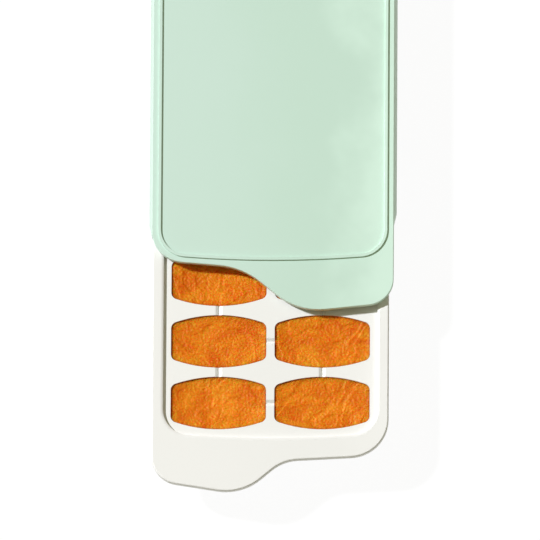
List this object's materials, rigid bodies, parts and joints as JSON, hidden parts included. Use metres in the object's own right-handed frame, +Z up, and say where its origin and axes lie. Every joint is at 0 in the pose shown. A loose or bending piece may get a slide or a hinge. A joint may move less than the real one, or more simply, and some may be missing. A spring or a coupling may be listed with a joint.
{
  "type": "baby food freezer tray",
  "caption": "Rigid freezer tray for baby food portions, with bowed pockets, S-shaped end tabs and a lid that slides along the rim.",
  "frame": {"origin": "On the surface the tray stands on, under the middle of the tray's width and of the length of tray and part-open lid together.", "axes": "+X across the tray, +Y along it towards the side where the lid slides open, +Z up."},
  "size_m": [0.127, 0.3864, 0.0348],
  "materials": {
    "tray_plastic": "satin white polypropylene",
    "lid_plastic": "satin translucent mint green polypropylene"
  },
  "bodies": {
    "tray_body": {"tray": "tray_plastic"},
    "lid_body": {"sliding_lid": "lid_plastic"}
  },
  "joints": [
    {"name": "lid_slide", "type": "slide", "parent": "tray_body", "child": "lid_body", "axis": [0, 1, 0], "range_m": [-0.0969, 0.0969]}
  ]
}
